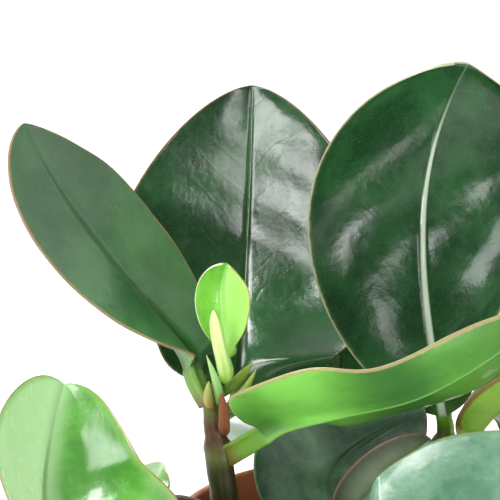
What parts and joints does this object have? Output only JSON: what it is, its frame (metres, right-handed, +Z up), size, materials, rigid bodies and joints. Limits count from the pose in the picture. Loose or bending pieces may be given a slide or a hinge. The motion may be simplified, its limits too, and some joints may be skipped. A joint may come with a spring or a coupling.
{
  "type": "potted peperomia",
  "caption": "Baby rubber plant with round glossy leaves on fleshy stems, growing in soil in a round tapered terracotta-coloured pot with a collar.",
  "frame": {"origin": "Centre of the pot's flat underside, on the surface it rests on.", "axes": "+Z up along the pot's axis, +X to the right of the picture, +Y away from the picture's camera."},
  "size_m": [0.1939, 0.1616, 0.2048],
  "materials": {
    "terracotta_plastic": "satin",
    "dark_soil": "matte",
    "green_stem": "satin",
    "glossy_leaf": "gloss",
    "young_leaf": "gloss"
  },
  "bodies": {
    "root": {"pot": "terracotta_plastic", "soil": "dark_soil", "stem_left": "green_stem", "stem_right": "green_stem", "stem_over_rim": "green_stem", "stem_front": "green_stem", "stem_back": "green_stem", "stem_far_right": "green_stem", "stem_near_right": "green_stem", "leaf_left_long": "glossy_leaf", "leaf_back_round": "glossy_leaf", "leaf_right_cupped": "glossy_leaf", "leaf_low_edge_on": "glossy_leaf", "leaf_over_rim": "glossy_leaf", "leaf_front_wide": "glossy_leaf", "leaf_front_inner": "glossy_leaf", "leaf_middle_upright": "glossy_leaf", "leaf_right_low": "glossy_leaf", "leaf_back_hidden": "glossy_leaf", "leaf_back_low": "glossy_leaf", "leaf_back_left": "glossy_leaf", "leaf_left_low": "glossy_leaf", "leaf_front_left": "glossy_leaf", "leaf_far_right_up": "glossy_leaf", "leaf_far_right_side": "glossy_leaf", "leaf_far_right_back": "glossy_leaf", "leaf_right_drooping": "glossy_leaf", "leaf_near_right": "glossy_leaf", "young_leaf_cupped": "young_leaf", "rolled_leaf_pale": "young_leaf", "spike_green": "young_leaf", "sheath_brown": "young_leaf", "bud_orange": "young_leaf", "bud_pair": "young_leaf", "bud_pair_low": "young_leaf"}
  },
  "joints": []
}
